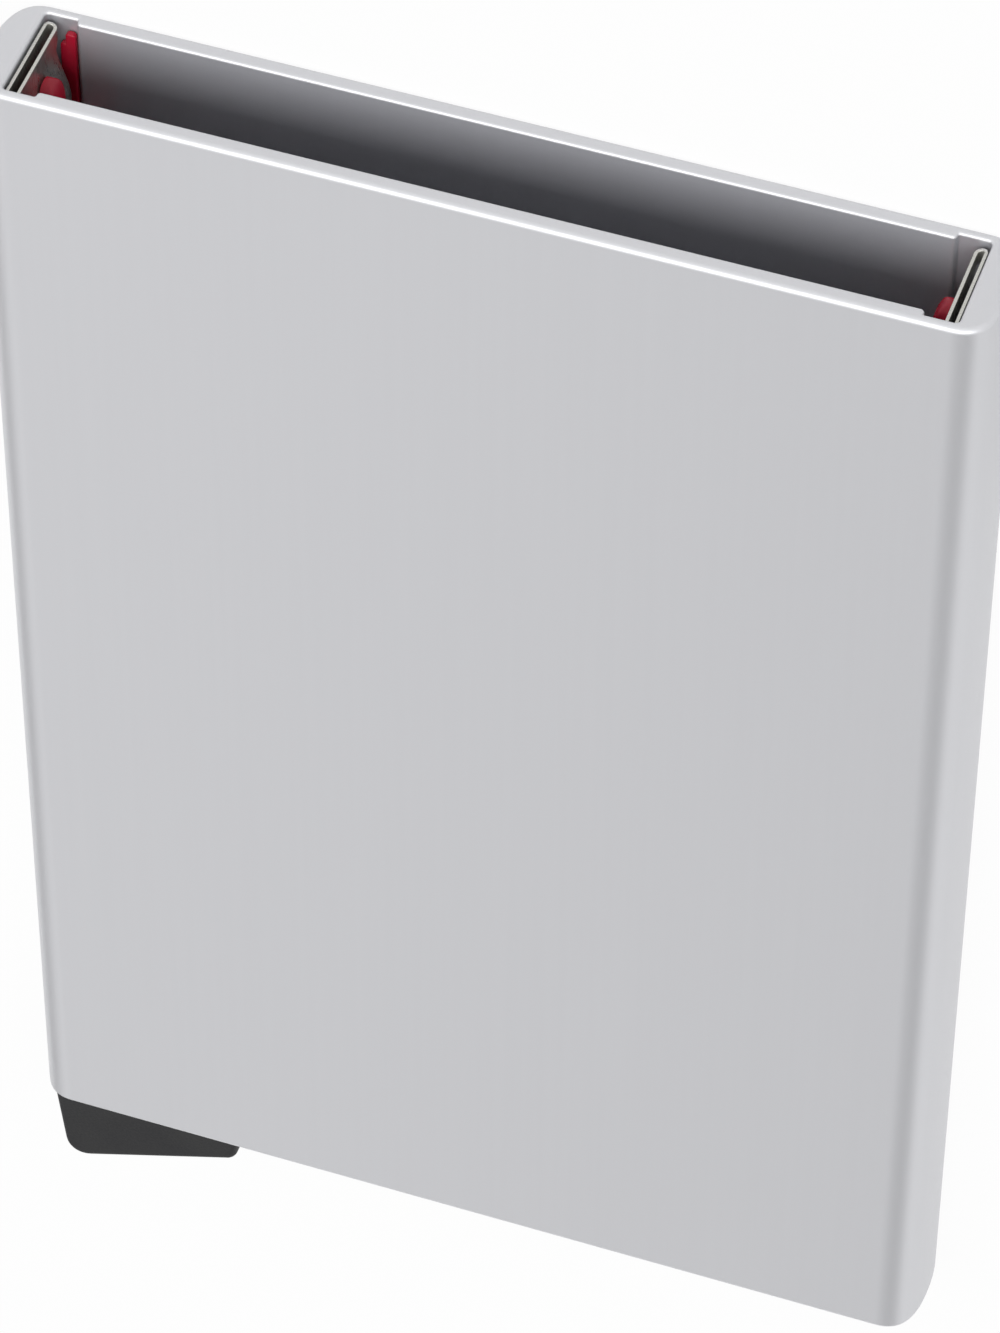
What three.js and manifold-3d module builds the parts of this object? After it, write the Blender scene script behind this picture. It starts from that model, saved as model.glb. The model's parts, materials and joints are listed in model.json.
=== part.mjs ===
// Pop-up card protector: a flat aluminium tube holds a stack of cards between two sprung grip pads,
// and a hinged lever under the stack lifts the cards out in a fan when its trigger is pulled.
// Millimetres. The case lies on its back: X runs across it, Y towards the card mouth, Z out of its front.
// The origin is the middle of the flat back face.

import * as THREE from 'three';
import { mergeVertices } from 'three/addons/utils/BufferGeometryUtils.js';
import Module from 'manifold-3d';

const wasm = await Module();
wasm.setup();

// Cards that the case is made for, and the room that it gives them
const CARD_WIDTH = 54;
const CARD_LENGTH = 85.6;
const CARD_STACK = 6.1;
const CARD_SIDE_CLEARANCE = 0.15;
const CARD_MOUTH_DEPTH = 0.6;
const CARD_ARM_GAP = 0.4;

// Case tube, an extrusion that is open at both ends, with a pocket past each side of the card slot.
// Its round sides reach in over the faces; a fullness of 0.55 would make them elliptic, and 1 nearly square.
const FACE_WALL = 1.1;
const END_WALL = 2.25;
const SIDE_REACH = 2.55;
const SIDE_FULLNESS = 0.7;
const RIM_CHAMFER = 0.4;
const MOUTH_CHAMFER = 0.22;
const POCKET_DEPTH = 2.1;
const POCKET_STEP = 0.43;
const POCKET_CORNER_RADIUS = 0.3;

// Hinge of the lever, on a pin between the cheeks of a clevis in the lower left corner
const HUB_RADIUS = 3.8;
const HUB_THICKNESS = 3.2;
const HUB_SIDE_CLEARANCE = 0.15;
const HUB_SWING_CLEARANCE = 0.4;
const PIN_RADIUS = 1;
const PIN_SEAT_CLEARANCE = 0.03;
const PIN_RUNNING_CLEARANCE = 0.07;
const PIN_END_GAP = 0.1;
const CLEVIS_WALL = 1.45;
const CLEVIS_RECESS = 0.8;

// Mouldings that plug the lower end of the tube
const INSERT_CLEARANCE = 0.1;
const COVER_RECESS = 0.3;
const FLOOR_THICKNESS = 1.2;
const CARD_LEDGE = 0.8;

// Trigger, the end of the lever that hangs out below the case
const TRIGGER_SIDE_CLEARANCE = 0.2;
const TRIGGER_RIM_GAP = 0.4;
const TRIGGER_FLANK_INSET = 0.6;
const TRIGGER_TOE_INSET = 1.4;
const TRIGGER_TOE_DROP = 8.1;
const TRIGGER_TOE_RADIUS = 1.45;
const TRIGGER_NOSE_INSET = 13.95;
const TRIGGER_NOSE_DROP = 3.3;
const TRIGGER_NOSE_RADIUS = 0.85;
const TRIGGER_EDGE_ROUND = 0.5;

// Lifting arm, stepped through its thickness so that each card is lifted by a shorter reach than the last
const ARM_SIDE_CLEARANCE = 0.3;
const ARM_TIP_GAP = 0.85;
const ARM_STEP_COUNT = 6;
const ARM_STEP_LENGTH = 5;
const ARM_FLOOR_GAP = 0.3;
const ARM_TIP_RADIUS = 2.2;
const ARM_HEEL_RADIUS = 1.2;
const ARM_ROOT = 6;
const ARM_ROOT_FILLET = 0.8;
const LEVER_SWING = 35;
const SHOULDER_SWING_SPARE = 5;

// Spring clips, folded from strip, one in each pocket
const CLIP_SHEET = 0.22;
const CLIP_LEAF_GAP = 0.24;
const CLIP_WALL_GAP = 0.1;
const CLIP_SIDE_GAP = 0.25;
const CLIP_MOUTH_DEPTH = 0.4;
const CLIP_OUTER_DROP = 0.35;
const CLIP_LEAF_SETBACK = 0.3;
const CLIP_FOOT_GAP = 0.3;
const CLIP_TAB = 1.2;
const CLIP_RAMP = 3.8;
const CLIP_BOW_RADIUS = 8;

// Grip pads, moulded in soft rubber and buttoned through holes in the inner leaf of each clip
const PAD_FACE_PROUD = 0.45;
const PAD_THICKNESS = 0.65;
const PAD_LEAF_GAP = 0.1;
const PAD_WIDTH = 1.8;
const PAD_CROWN = 0.5;
const PAD_NOSE_RADIUS = 0.6;
const PAD_HEEL_RADIUS = 0.4;
const PAD_MOUTH_DEPTH = 2.15;
const PAD_FOOT_HEIGHT = 24;
const PAD_STUD_COUNT = 3;
const PAD_STUD_RADIUS = 0.7;
const PAD_STUD_CLEARANCE = 0.2;
const PAD_STUD_PROUD = 0.2;

// Lug of the left pad, a thin strip on the pocket's back wall with a tongue beside the clip's fold
const LUG_MOUTH_DEPTH = 1;
const LUG_LENGTH = 8.5;
const LUG_WIDTH = 1;
const LUG_THICKNESS = 0.35;
const LUG_TONGUE_WIDTH = 0.65;
const LUG_TONGUE_LENGTH = 0.8;
const LUG_CORNER_RADIUS = 0.25;
const LUG_EDGE_ROUND = 0.1;
const LUG_WEB_LENGTH = 1.5;
const LUG_WEB_THICKNESS = 0.5;
const LUG_WALL_GAP = 0.12;
const LUG_STEP_GAP = 0.1;

// Facets on round stretches
const ARC_STEPS = 8;
const EDGE_STEPS = 2;
const ROUND_SIDES = 32;

// Places that several pieces share
const slotX = CARD_WIDTH / 2 + CARD_SIDE_CLEARANCE;
const pocketX = slotX + POCKET_DEPTH;
const sideX = pocketX + END_WALL;
const slotHalf = CARD_STACK / 2;
const pocketHalf = slotHalf + POCKET_STEP;
const mid = slotHalf + FACE_WALL;
const cardRest = CLEVIS_RECESS + 2 * HUB_RADIUS + CARD_ARM_GAP;
const mouthY = (cardRest + CARD_LENGTH + CARD_MOUTH_DEPTH) / 2;
const endY = -mouthY;
const cardRestY = endY + cardRest;
const keyX = slotX + INSERT_CLEARANCE;
const plugX = pocketX - INSERT_CLEARANCE;
const pivotX = CLEVIS_WALL + HUB_SWING_CLEARANCE + HUB_RADIUS - plugX;
const pivotY = endY + CLEVIS_RECESS + HUB_RADIUS;
const coverY = endY + COVER_RECESS;
const floorTopY = coverY + FLOOR_THICKNESS;
const ledgeX = slotX - CARD_LEDGE;

const aluminium = new THREE.MeshStandardMaterial({ color: 0xc8c9cd, roughness: 0.42, metalness: 1 });
const blackMoulding = new THREE.MeshStandardMaterial({ color: 0x1d1e20, roughness: 0.6, metalness: 0 });
const charcoalMoulding = new THREE.MeshStandardMaterial({ color: 0x3c3d40, roughness: 0.55, metalness: 0 });
const pinSteel = new THREE.MeshStandardMaterial({ color: 0x9a9da1, roughness: 0.3, metalness: 1 });
const springSteel = new THREE.MeshStandardMaterial({ color: 0xaeb0ae, roughness: 0.25, metalness: 1 });
const redRubber = new THREE.MeshStandardMaterial({ color: 0xa0142a, roughness: 0.5, metalness: 0 });

// A closed body from a three.js geometry, with its shared vertices merged
function solid(geometry) {
  geometry.deleteAttribute('normal');
  geometry.deleteAttribute('uv');
  const merged = mergeVertices(geometry);
  const vertProperties = new Float32Array(merged.attributes.position.array);
  const triVerts = new Uint32Array(merged.index.array);
  return new wasm.Manifold(new wasm.Mesh({ numProp: 3, vertProperties, triVerts }));
}

function namedMesh(name, body, material) {
  const { numProp, vertProperties, triVerts } = body.getMesh();
  const geometry = new THREE.BufferGeometry();
  geometry.setAttribute('position', new THREE.BufferAttribute(vertProperties, numProp));
  geometry.setIndex(new THREE.BufferAttribute(triVerts, 1));
  geometry.computeVertexNormals();
  const mesh = new THREE.Mesh(geometry, material.clone());
  mesh.name = name;
  return mesh;
}

// Closed outline through corners given as [x, y, radius], where a missing radius leaves the corner sharp
function outline(corners) {
  const shape = new THREE.Shape();
  corners.forEach(([x, y, radius = 0], i) => {
    const corner = new THREE.Vector2(x, y);
    const before = new THREE.Vector2(...corners.at(i - 1)).sub(corner).normalize();
    const after = new THREE.Vector2(...corners[(i + 1) % corners.length]).sub(corner).normalize();
    const halfAngle = Math.acos(before.dot(after)) / 2;
    const tangent = radius / Math.tan(halfAngle);
    const start = before.clone().multiplyScalar(tangent).add(corner);
    if (i === 0) shape.moveTo(start.x, start.y);
    else shape.lineTo(start.x, start.y);
    if (radius === 0) return;
    const bisector = before.clone().add(after).normalize();
    const centre = bisector.multiplyScalar(radius / Math.sin(halfAngle)).add(corner);
    const from = start.sub(centre).angle();
    const to = after.clone().multiplyScalar(tangent).add(corner).sub(centre).angle();
    shape.absarc(centre.x, centre.y, radius, from, to, before.cross(after) > 0);
  });
  return shape;
}

function rectangle(x0, y0, x1, y1) {
  return outline([[x0, y0], [x1, y0], [x1, y1], [x0, y1]]);
}

// Outline drawn in X and Y, given its thickness along Z; its edges may be rounded
function plate(shape, z0, z1, edgeRound = 0) {
  const geometry = new THREE.ExtrudeGeometry(shape, {
    depth: z1 - z0 - 2 * edgeRound,
    curveSegments: ARC_STEPS,
    bevelEnabled: edgeRound > 0,
    bevelThickness: edgeRound,
    bevelSize: edgeRound,
    bevelOffset: -edgeRound,
    bevelSegments: EDGE_STEPS,
  });
  return solid(geometry.translate(0, 0, z0 + edgeRound));
}

// Section drawn in X and Z, run along Y; each end is chamfered inwards, or flared outwards if negative
function run(shape, y0, y1, chamfer = 0) {
  const size = Math.abs(chamfer);
  const geometry = new THREE.ExtrudeGeometry(shape, {
    depth: y1 - y0 - 2 * size,
    curveSegments: ARC_STEPS,
    bevelEnabled: size > 0,
    bevelThickness: size,
    bevelSize: size,
    bevelOffset: chamfer > 0 ? -size : 0,
    bevelSegments: 1,
  });
  return solid(geometry.rotateX(Math.PI / 2).translate(0, y1 - size, 0));
}

function roundBar(x, y, radius, z0, z1) {
  const geometry = new THREE.CylinderGeometry(radius, radius, z1 - z0, ROUND_SIDES);
  return solid(geometry.rotateX(Math.PI / 2).translate(x, y, (z0 + z1) / 2));
}

function crossBar(x0, x1, y, z, radius) {
  const geometry = new THREE.CylinderGeometry(radius, radius, Math.abs(x1 - x0), ROUND_SIDES / 2);
  return solid(geometry.rotateZ(Math.PI / 2).translate((x0 + x1) / 2, y, z));
}

// Hollow of the tube: the card slot between the two faces, stepped out into a deeper pocket at each end
function hollowSection() {
  const quarter = [[slotX, slotHalf], [slotX, pocketHalf], [pocketX, pocketHalf, POCKET_CORNER_RADIUS]];
  const back = quarter.map(([x, z, radius]) => [x, mid - z, radius]);
  const front = quarter.map(([x, z, radius]) => [x, mid + z, radius]).reverse();
  const right = [...back, ...front];
  const left = right.map(([x, z, radius]) => [-x, z, radius]).reverse();
  return outline([...right, ...left]);
}

// Skin of the tube: two flat faces joined by round sides, each made of two equal curves
function skinSection() {
  const flatX = sideX - SIDE_REACH;
  const handleX = flatX + SIDE_FULLNESS * SIDE_REACH;
  const handleZ = SIDE_FULLNESS * mid;
  const front = 2 * mid;
  const skin = new THREE.Shape();
  skin.moveTo(-flatX, 0);
  skin.lineTo(flatX, 0);
  skin.bezierCurveTo(handleX, 0, sideX, mid - handleZ, sideX, mid);
  skin.bezierCurveTo(sideX, mid + handleZ, handleX, front, flatX, front);
  skin.lineTo(-flatX, front);
  skin.bezierCurveTo(-handleX, front, -sideX, mid + handleZ, -sideX, mid);
  skin.bezierCurveTo(-sideX, mid - handleZ, -handleX, 0, -flatX, 0);
  return skin;
}

function caseTube() {
  const past = mid;
  const hollow = run(hollowSection(), endY - past, mouthY + past);
  const mouthFlare = run(hollowSection(), mouthY - MOUTH_CHAMFER, mouthY + past, -MOUTH_CHAMFER);
  const endFlare = run(hollowSection(), endY - past, endY + MOUTH_CHAMFER, -MOUTH_CHAMFER);
  return run(skinSection(), endY, mouthY, RIM_CHAMFER)
    .subtract(hollow)
    .subtract(mouthFlare)
    .subtract(endFlare);
}

// Block that keys into the pocket on one side and fills the slot from there to x
function pocketInsert(side, x, y0, y1) {
  const slotFit = slotHalf - INSERT_CLEARANCE;
  const pocketFit = pocketHalf - INSERT_CLEARANCE;
  return run(outline([
    [x, mid - slotFit],
    [side * keyX, mid - slotFit],
    [side * keyX, mid - pocketFit],
    [side * plugX, mid - pocketFit, POCKET_CORNER_RADIUS],
    [side * plugX, mid + pocketFit, POCKET_CORNER_RADIUS],
    [side * keyX, mid + pocketFit],
    [side * keyX, mid + slotFit],
    [x, mid + slotFit],
  ]), y0, y1);
}

// Clevis: two cheeks with round noses carry the pin on both sides of the hub
function pivotBlock() {
  const fit = slotHalf - INSERT_CLEARANCE;
  const hubGap = HUB_THICKNESS / 2 + HUB_SIDE_CLEARANCE;
  const gapX = CLEVIS_WALL - plugX;
  const gap = rectangle(gapX, endY, pivotX + 2 * HUB_RADIUS, cardRestY + HUB_RADIUS);
  return pocketInsert(-1, pivotX, pivotY - HUB_RADIUS, cardRestY)
    .add(roundBar(pivotX, pivotY, HUB_RADIUS, mid - fit, mid + fit))
    .subtract(plate(gap, mid - hubGap, mid + hubGap))
    .subtract(roundBar(pivotX, pivotY, PIN_RADIUS + PIN_SEAT_CLEARANCE, 0, 2 * mid));
}

function pivotPin() {
  const half = slotHalf - INSERT_CLEARANCE - PIN_END_GAP;
  return roundBar(pivotX, pivotY, PIN_RADIUS, mid - half, mid + half);
}

// Corners of the trigger, which hang from the case's left side and lower end
const toe = [TRIGGER_TOE_INSET - sideX, endY - TRIGGER_TOE_DROP];
const nose = [TRIGGER_NOSE_INSET - sideX, endY - TRIGGER_NOSE_DROP];
const noseSweep = Math.hypot(nose[0] - pivotX, nose[1] - pivotY);

// Floor under the arm, clear of the nose as it swings in, with a plug for the right pocket
function bottomCover() {
  const floor = pocketInsert(1, pivotX + noseSweep, coverY, floorTopY);
  return floor.add(pocketInsert(1, ledgeX, coverY, cardRestY));
}

// Lever: the trigger and the root of the arm are one crank round the hub, relieved where the cheeks lie
function ejectorLever() {
  const armLow = floorTopY + ARM_FLOOR_GAP;
  const armHigh = pivotY + HUB_RADIUS;
  const trigger = slotHalf - TRIGGER_SIDE_CLEARANCE;
  const hub = HUB_THICKNESS / 2;
  const shoulderTurn = THREE.MathUtils.degToRad(LEVER_SWING + SHOULDER_SWING_SPARE);
  const shoulderX = pivotX + HUB_RADIUS * Math.tan(shoulderTurn);
  const rootX = nose[0] + ARM_ROOT;
  const rimY = endY - TRIGGER_RIM_GAP;
  const crank = plate(outline([
    [TRIGGER_FLANK_INSET - sideX, rimY],
    [...toe, TRIGGER_TOE_RADIUS],
    [...nose, TRIGGER_NOSE_RADIUS],
    [nose[0] + ARM_ROOT_FILLET, armLow, ARM_ROOT_FILLET],
    [rootX, armLow],
    [rootX, armHigh],
    [shoulderX, armHigh],
    [pivotX, pivotY],
    [pivotX, rimY],
  ]), mid - trigger, mid + trigger, TRIGGER_EDGE_ROUND);
  const reliefRadius = HUB_RADIUS + HUB_SWING_CLEARANCE;
  const neck = rectangle(pivotX - HUB_RADIUS, rimY - HUB_RADIUS / 2, pivotX + HUB_RADIUS, pivotY);
  let lever = crank
    .subtract(roundBar(pivotX, pivotY, reliefRadius, 0, mid - hub))
    .subtract(roundBar(pivotX, pivotY, reliefRadius, mid + hub, 2 * mid))
    .add(roundBar(pivotX, pivotY, HUB_RADIUS, mid - hub, mid + hub))
    .add(plate(neck, mid - hub, mid + hub));
  const arm = slotHalf - ARM_SIDE_CLEARANCE;
  for (let step = 0; step < ARM_STEP_COUNT; step += 1) {
    const tipX = ledgeX - ARM_TIP_GAP - step * ARM_STEP_LENGTH;
    const layer = outline([
      [nose[0], armLow],
      [tipX, armLow, ARM_HEEL_RADIUS],
      [tipX, armHigh, ARM_TIP_RADIUS],
      [nose[0], armHigh],
    ]);
    lever = lever.add(plate(layer, mid - arm, mid - arm + (2 * arm * (step + 1)) / ARM_STEP_COUNT));
  }
  return lever.subtract(roundBar(pivotX, pivotY, PIN_RADIUS + PIN_RUNNING_CLEARANCE, 0, 2 * mid));
}

// Places of the clip and pad, measured from the pocket's outer wall
const clipOuterX = pocketX - CLIP_WALL_GAP;
const clipInnerX = clipOuterX - 2 * CLIP_SHEET - CLIP_LEAF_GAP;
const clipFootY = cardRestY + CLIP_FOOT_GAP;
const clipHeadY = mouthY - CLIP_MOUTH_DEPTH;
const clipBack = mid - pocketHalf + CLIP_SIDE_GAP;
const clipFront = mid + pocketHalf - CLIP_SIDE_GAP;
const leafBack = clipBack + CLIP_SHEET + CLIP_LEAF_GAP / 2 + CLIP_LEAF_SETBACK;
const padFootY = endY + PAD_FOOT_HEIGHT;
const padHeadY = mouthY - PAD_MOUTH_DEPTH;
const padFaceX = slotX - PAD_FACE_PROUD;
const padBackX = padFaceX + PAD_THICKNESS;
const leafFaceX = padBackX + PAD_LEAF_GAP;
const bowHeadY = clipHeadY - CLIP_TAB - CLIP_RAMP;

function padStuds(side, radius, outerX) {
  const pitch = (padHeadY - padFootY) / PAD_STUD_COUNT;
  const places = Array.from({ length: PAD_STUD_COUNT }, (_, i) => padFootY + (i + 0.5) * pitch);
  const rootX = (padFaceX + padBackX) / 2;
  return places.map((y) => crossBar(side * rootX, side * outerX, y, mid, radius));
}

// Clip: a flat outer leaf and a bowed inner leaf, joined by a folded tab at the head and at the foot.
// The head of the outer leaf is lower than that of the inner one, which is narrower between the tabs.
function springClip(side) {
  const t = CLIP_SHEET;
  const inner = side > 0 ? Math.PI : 0;
  const outer = side > 0 ? 2 * Math.PI : -Math.PI;
  const bendX = (side * (clipInnerX + clipOuterX)) / 2;
  const bendRadius = (clipOuterX - clipInnerX) / 2;
  const bendZ = clipBack + bendRadius;
  const fold = new THREE.Shape();
  fold.moveTo(side * clipInnerX, clipFront);
  fold.lineTo(side * clipInnerX, bendZ);
  fold.absarc(bendX, bendZ, bendRadius, inner, outer, side < 0);
  fold.lineTo(side * clipOuterX, clipFront);
  fold.lineTo(side * (clipOuterX - t), clipFront);
  fold.absarc(bendX, bendZ, bendRadius - t, outer, inner, side > 0);
  fold.lineTo(side * (clipInnerX + t), clipFront);
  const outerLeaf = rectangle(side * (clipOuterX - t), clipFootY, side * clipOuterX, clipHeadY);
  const bowed = (sheet) => [
    [side * (clipInnerX + sheet), clipFootY],
    [side * (clipInnerX + sheet), clipFootY + CLIP_TAB, CLIP_BOW_RADIUS],
    [side * (leafFaceX + sheet), clipFootY + CLIP_TAB + CLIP_RAMP, CLIP_BOW_RADIUS],
    [side * (leafFaceX + sheet), bowHeadY, CLIP_BOW_RADIUS],
    [side * (clipInnerX + sheet), clipHeadY - CLIP_TAB, CLIP_BOW_RADIUS],
    [side * (clipInnerX + sheet), clipHeadY],
  ];
  const innerLeaf = outline([...bowed(0), ...bowed(t).reverse()]);
  const cutHead = rectangle(bendX, clipHeadY - CLIP_OUTER_DROP, side * pocketX, mouthY);
  const holes = padStuds(side, PAD_STUD_RADIUS + PAD_STUD_CLEARANCE, clipInnerX + t);
  return run(fold, clipHeadY - CLIP_TAB, clipHeadY)
    .add(run(fold, clipFootY, clipFootY + CLIP_TAB))
    .add(plate(outerLeaf, bendZ, clipFront))
    .add(holes.reduce((leaf, hole) => leaf.subtract(hole), plate(innerLeaf, leafBack, clipFront)))
    .subtract(plate(cutHead, 0, 2 * mid));
}

// Lug: the strip's section turns round the back edge of the leaf at its root, where a web joins it to the pad
function padLug(side) {
  const head = mouthY - LUG_MOUTH_DEPTH;
  const root = head - LUG_LENGTH;
  const shoulder = head - LUG_TONGUE_LENGTH;
  const stepX = slotX + LUG_STEP_GAP;
  const back = mid - pocketHalf + LUG_WALL_GAP;
  const strip = outline([
    [side * stepX, root],
    [side * (stepX + LUG_WIDTH), root],
    [side * (stepX + LUG_WIDTH), shoulder, LUG_CORNER_RADIUS],
    [side * (stepX + LUG_TONGUE_WIDTH), shoulder],
    [side * (stepX + LUG_TONGUE_WIDTH), head, LUG_CORNER_RADIUS],
    [side * stepX, head, LUG_CORNER_RADIUS],
  ]);
  const webFaceX = padBackX - LUG_WEB_THICKNESS;
  const webStep = mid - slotHalf + LUG_WALL_GAP;
  const webTurn = leafBack - LUG_WALL_GAP;
  const webFront = mid - PAD_WIDTH / 4;
  const web = outline([
    [side * stepX, back],
    [side * (stepX + LUG_WEB_THICKNESS), back],
    [side * (stepX + LUG_WEB_THICKNESS), webTurn],
    [side * padBackX, webTurn],
    [side * padBackX, webFront],
    [side * webFaceX, webFront],
    [side * webFaceX, webStep],
    [side * stepX, webStep],
  ]);
  return plate(strip, back, back + LUG_THICKNESS, LUG_EDGE_ROUND).add(run(web, root, root + LUG_WEB_LENGTH));
}

// Pad: a long bead with a crowned face and round ends, whose head leans back along the leaf
function gripPad(side) {
  const half = PAD_WIDTH / 2;
  const headLean = ((clipInnerX - leafFaceX) * (padHeadY - bowHeadY)) / CLIP_RAMP;
  const profile = outline([
    [side * padBackX, padFootY],
    [side * padFaceX, padFootY, PAD_NOSE_RADIUS],
    [side * padFaceX, padHeadY, PAD_NOSE_RADIUS],
    [side * (padBackX + headLean), padHeadY, PAD_HEEL_RADIUS],
    [side * padBackX, bowHeadY, CLIP_BOW_RADIUS],
  ]);
  const crownRadius = (half * half + PAD_CROWN * PAD_CROWN) / (2 * PAD_CROWN);
  const crownAngle = Math.asin(half / crownRadius);
  const crown = new THREE.Shape();
  const middle = side > 0 ? Math.PI : 0;
  const crownX = side * (padFaceX + crownRadius);
  crown.moveTo(side * clipInnerX, mid + side * half);
  crown.lineTo(side * clipInnerX, mid - side * half);
  crown.absarc(crownX, mid, crownRadius, middle + crownAngle, middle - crownAngle, true);
  const between = rectangle(side * padFaceX, padFootY + half, side * clipInnerX, padHeadY - half);
  const stadium = plate(between, mid - half, mid + half)
    .add(crossBar(side * padFaceX, side * clipInnerX, padFootY + half, mid, half))
    .add(crossBar(side * padFaceX, side * clipInnerX, padHeadY - half, mid, half));
  const body = plate(profile, mid - PAD_WIDTH, mid + PAD_WIDTH)
    .intersect(run(crown, padFootY - half, padHeadY + half))
    .intersect(stadium);
  const studs = padStuds(side, PAD_STUD_RADIUS, leafFaceX + CLIP_SHEET + PAD_STUD_PROUD);
  const pad = studs.reduce((strip, stud) => strip.add(stud), body);
  return side < 0 ? pad.add(padLug(side)) : pad;
}

const cardProtector = new THREE.Group();
cardProtector.add(
  namedMesh('case_tube', caseTube(), aluminium),
  namedMesh('pivot_block', pivotBlock(), blackMoulding),
  namedMesh('bottom_cover', bottomCover(), blackMoulding),
  namedMesh('pivot_pin', pivotPin(), pinSteel),
  namedMesh('ejector_lever', ejectorLever(), charcoalMoulding),
);
for (const [hand, side] of [['left', -1], ['right', 1]]) {
  cardProtector.add(
    namedMesh(`${hand}_spring_clip`, springClip(side), springSteel),
    namedMesh(`${hand}_grip_pad`, gripPad(side), redRubber),
  );
}

export default cardProtector;
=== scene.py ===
# %% [markdown]
# # A pop-up card protector, dressed in Blender
# The object is a flat aluminium tube for a stack of cards. Inside it, two folded steel clips press red
# rubber pads against the cards, and a plastic lever under the stack lifts them out as a fan. The frame that
# is loaded here fixes every size, place and joint. This lesson makes the surfaces: it models each piece
# again with soft edges, gives it a finish, and photographs it on a white table.

# %% Load the frame
import json
import math

import bmesh
import bpy
from mathutils import Matrix, Vector
from mathutils.geometry import interpolate_bezier


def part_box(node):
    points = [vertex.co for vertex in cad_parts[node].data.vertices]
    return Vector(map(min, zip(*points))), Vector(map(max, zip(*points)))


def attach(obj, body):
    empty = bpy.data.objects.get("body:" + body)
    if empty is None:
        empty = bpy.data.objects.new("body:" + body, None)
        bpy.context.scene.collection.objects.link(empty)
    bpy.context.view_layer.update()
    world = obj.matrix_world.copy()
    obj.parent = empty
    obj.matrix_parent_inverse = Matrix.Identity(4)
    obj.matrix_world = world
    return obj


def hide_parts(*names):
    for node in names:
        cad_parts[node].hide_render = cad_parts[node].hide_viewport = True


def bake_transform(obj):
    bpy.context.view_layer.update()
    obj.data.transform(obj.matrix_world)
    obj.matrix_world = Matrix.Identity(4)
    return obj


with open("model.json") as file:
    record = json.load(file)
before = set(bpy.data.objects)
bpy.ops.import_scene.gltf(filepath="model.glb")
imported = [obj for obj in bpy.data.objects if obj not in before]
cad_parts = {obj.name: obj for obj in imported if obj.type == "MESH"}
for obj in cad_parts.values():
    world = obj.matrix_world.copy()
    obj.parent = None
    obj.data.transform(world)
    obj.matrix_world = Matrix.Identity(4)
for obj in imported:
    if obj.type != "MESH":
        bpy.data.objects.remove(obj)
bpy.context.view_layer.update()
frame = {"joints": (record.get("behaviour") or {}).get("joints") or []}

MM = 0.001
scene = bpy.context.scene

# %% [markdown]
# ## The camera
# The case lies on its back, and the camera looks down at it past the card mouth. A camera could be placed
# by eye, but the case is a plain box, so its edges in the photograph give the lens and the place exactly.
# `TURN` swings the camera towards the right side, `RISE` lifts it from the front face towards the mouth,
# and `ROLL` is the last small tilt of the picture. The mouth is at the top of the picture, so the camera
# hangs upside down.

# %% Camera
PHOTO_LONG_SIDE = 1333
FOCAL_PIXELS = 6777
SENSOR = 36
TURN = math.radians(18.8625)
RISE = math.radians(48.0704)
ROLL = math.radians(0.3652)
DISTANCE = 0.428537
AIM_OFFSET = (0.6394 * MM, 2.546 * MM)
CASE_MIDDLE = Vector((0, 0, 4.15 * MM))
NEAR_LIMIT = 0.01

back = Vector((math.sin(TURN) * math.cos(RISE), math.sin(RISE), math.cos(TURN) * math.cos(RISE)))
level = Vector((math.cos(TURN), 0, -math.sin(TURN)))
upward = back.cross(level)
right = math.cos(ROLL) * level + math.sin(ROLL) * upward
up = math.cos(ROLL) * upward - math.sin(ROLL) * level

camera_data = bpy.data.cameras.new("photo_camera")
camera_data.sensor_width = SENSOR
camera_data.lens = FOCAL_PIXELS * SENSOR / PHOTO_LONG_SIDE
camera_data.clip_start = NEAR_LIMIT
camera = bpy.data.objects.new("photo_camera", camera_data)
scene.collection.objects.link(camera)
place = CASE_MIDDLE + AIM_OFFSET[0] * right + AIM_OFFSET[1] * up + DISTANCE * back
camera.matrix_world = Matrix.Translation(place) @ Matrix((right, up, back)).transposed().to_4x4()
scene.camera = camera
print("camera at", [round(x, 4) for x in place], "with a lens of", round(camera_data.lens, 1), "mm")

# %% [markdown]
# ## Tools for shaping
# Every piece here is a prism at heart: an outline with rounded corners, pulled along one direction, then
# cut or joined. Blender rounds the corners of a single flat face with a vertex bevel, whose reach along
# each edge follows from the radius and the corner's angle. Pieces are shaped in millimetres and scaled to
# metres at the end, because the operators' own tolerances are too coarse for tenths of a millimetre written
# in metres.

# %% Outlines
TOUCH = 1e-4
CORNER_STEPS = 10


def box_mm(node):
    low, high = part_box(node)
    return low / MM, high / MM


def across(y):
    """Puts an outline's (x, z) in the plane at y."""
    return lambda x, z: (x, y, z)


def lying(z):
    """Puts an outline's (x, y) in the plane at z."""
    return lambda x, y: (x, y, z)


def rounded_face(corners, put):
    """One flat face through corners given as (a, b, radius), each rounded to its radius."""
    bm = bmesh.new()
    points = [Vector(corner[:2]) for corner in corners]
    verts = [bm.verts.new(put(*point)) for point in points]
    bm.faces.new(verts)
    for i, (_, _, radius) in enumerate(corners):
        if radius > 0:
            before = points[i - 1] - points[i]
            after = points[(i + 1) % len(points)] - points[i]
            reach = radius / math.tan(before.angle(after) / 2)
            bmesh.ops.bevel(bm, geom=[verts[i]], offset=reach, offset_type="OFFSET", affect="VERTICES",
                            segments=CORNER_STEPS, profile=0.5, material=-1)
    bm.normal_update()
    return bm


print("round corners have", CORNER_STEPS, "steps, and points within", TOUCH, "mm count as one")

# %% [markdown]
# A prism is such a face, pulled along a direction. Its edges are softened afterwards with an edge bevel,
# and they are picked out by the plane that they lie in.

# %% Prisms and soft edges
EDGE_STEPS = 4


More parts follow.
